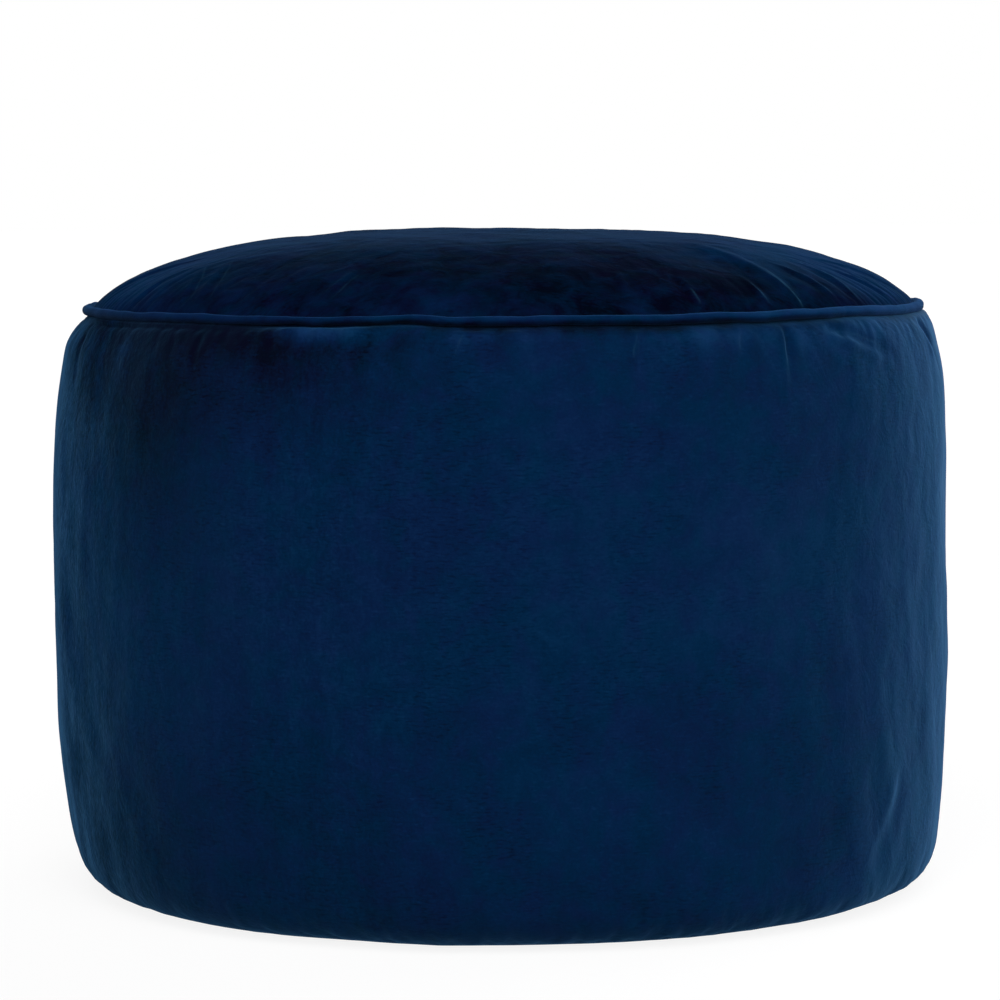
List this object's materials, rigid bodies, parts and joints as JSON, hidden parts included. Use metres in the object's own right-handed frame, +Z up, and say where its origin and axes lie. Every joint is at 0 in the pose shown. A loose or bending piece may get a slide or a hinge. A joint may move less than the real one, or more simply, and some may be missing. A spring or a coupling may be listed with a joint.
{
  "type": "round bean bag footstool",
  "caption": "Round filled footstool in dark blue velvet: a domed top with a piped seam, a tall bulging side and a flat base to stand on.",
  "frame": {"origin": "on the floor under the middle of the footstool, at the centre of its bounding box's lowest face", "axes": "+Z up, along the axis of the drum; -Y towards the front, the side that the camera sees; +X to the right of someone who faces that side"},
  "size_m": [0.5016, 0.5002, 0.3645],
  "materials": {
    "velvet": "short-pile velvet, dark navy blue, matt with a soft sheen",
    "piping_velvet": "the same velvet, cut on the bias over a cord",
    "underside_cloth": "plain matt black woven cloth"
  },
  "bodies": {
    "root": {"top_panel": "velvet", "side_panel": "velvet", "piping": "piping_velvet", "base_panel": "underside_cloth"}
  },
  "joints": []
}
